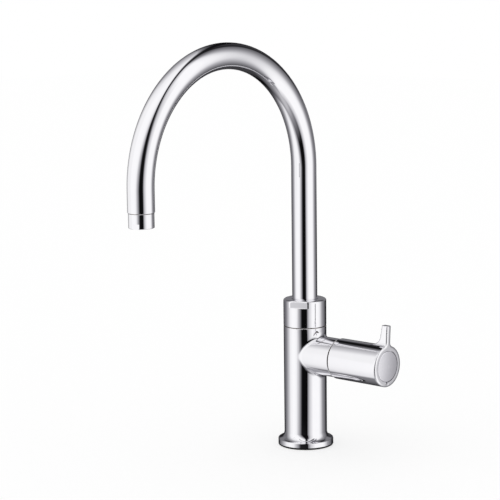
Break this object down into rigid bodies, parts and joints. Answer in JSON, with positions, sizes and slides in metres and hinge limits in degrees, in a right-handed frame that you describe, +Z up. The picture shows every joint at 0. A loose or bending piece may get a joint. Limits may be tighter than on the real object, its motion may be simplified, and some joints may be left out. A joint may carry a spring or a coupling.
{
  "type": "cold water tap",
  "caption": "Swan-neck kitchen tap for one cold supply: flared round foot, column, swivelling gooseneck with aerator, and a side handle with an upright lever that turns a quarter turn.",
  "frame": {"origin": "centre of the foot, on the deck", "axes": "+Z up along the column, -Y to the front where the spout points at rest, +X to the right along the handle"},
  "size_m": [0.1159, 0.2353, 0.3579],
  "materials": {
    "polished_chrome": "mirror-polished chrome plate on brass",
    "satin_chrome": "fine satin chrome plate",
    "brass": "turned, unplated",
    "seal_rubber": "black nitrile rubber",
    "white_plastic": "acetal, as moulded",
    "black_plastic": "acetal, as moulded",
    "grey_plastic": "moulded plastic",
    "stainless": "bright stainless steel",
    "valve_ceramic": "lapped alumina"
  },
  "bodies": {
    "base": {"body": "polished_chrome", "base_gasket": "seal_rubber", "spout_nut": "polished_chrome", "upper_glide_ring": "white_plastic", "lower_glide_ring": "white_plastic", "headwork_body": "brass", "headwork_washer": "seal_rubber", "fixed_disc": "valve_ceramic", "seat_seal": "seal_rubber", "handle_guide_ring": "black_plastic"},
    "spout": {"spout_tube": "polished_chrome", "spout_tail": "brass", "upper_spout_o_ring": "seal_rubber", "lower_spout_o_ring": "seal_rubber", "outlet_bush": "brass", "aerator_housing": "polished_chrome", "aerator_insert": "grey_plastic", "aerator_screen": "stainless", "aerator_washer": "seal_rubber"},
    "handle_assembly": {"handle": "polished_chrome", "handle_cap": "satin_chrome", "cap_o_ring": "seal_rubber", "handle_screw": "stainless", "spline_bush": "white_plastic", "spindle": "brass", "inner_spindle_o_ring": "seal_rubber", "outer_spindle_o_ring": "seal_rubber", "spindle_circlip": "stainless", "moving_disc": "valve_ceramic"}
  },
  "joints": [
    {"name": "spout_swivel", "type": "hinge", "parent": "base", "child": "spout", "pos_m": [0, 0, 0.11], "axis": [0, 0, 1], "continuous": true},
    {"name": "handle_turn", "type": "hinge", "parent": "base", "child": "handle_assembly", "pos_m": [0.06, 0, 0.0821], "axis": [1, 0, 0], "range_deg": [0, 90]}
  ]
}
